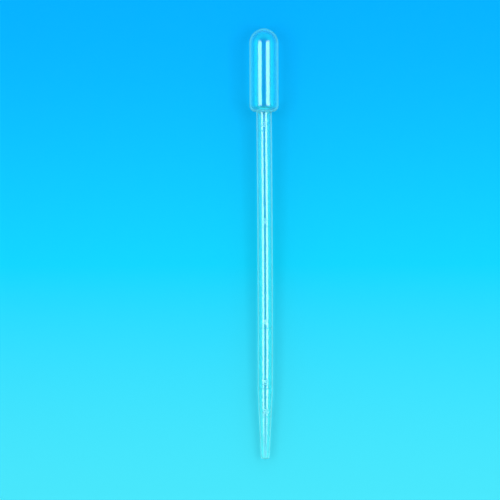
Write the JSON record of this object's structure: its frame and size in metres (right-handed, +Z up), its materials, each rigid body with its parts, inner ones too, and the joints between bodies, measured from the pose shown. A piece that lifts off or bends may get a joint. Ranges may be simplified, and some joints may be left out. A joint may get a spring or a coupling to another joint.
{
  "type": "dropper pipette",
  "caption": "Blow-moulded plastic dropper pipette with a domed squeeze bulb, a straight graduated stem and a tapered open tip.",
  "frame": {"origin": "centre of the footprint of the pipette as it lies, on the surface it lies on", "axes": "+Z up, +Y along the pipette from the tip towards the bulb, +X to the right of the graduations as they are read from above"},
  "size_m": [0.0122, 0.18, 0.0126],
  "materials": {
    "moulding": "natural low-density polyethylene: soft, clear to slightly milky, with a waxy gloss"
  },
  "bodies": {
    "root": {"pipette": "moulding"}
  },
  "joints": []
}
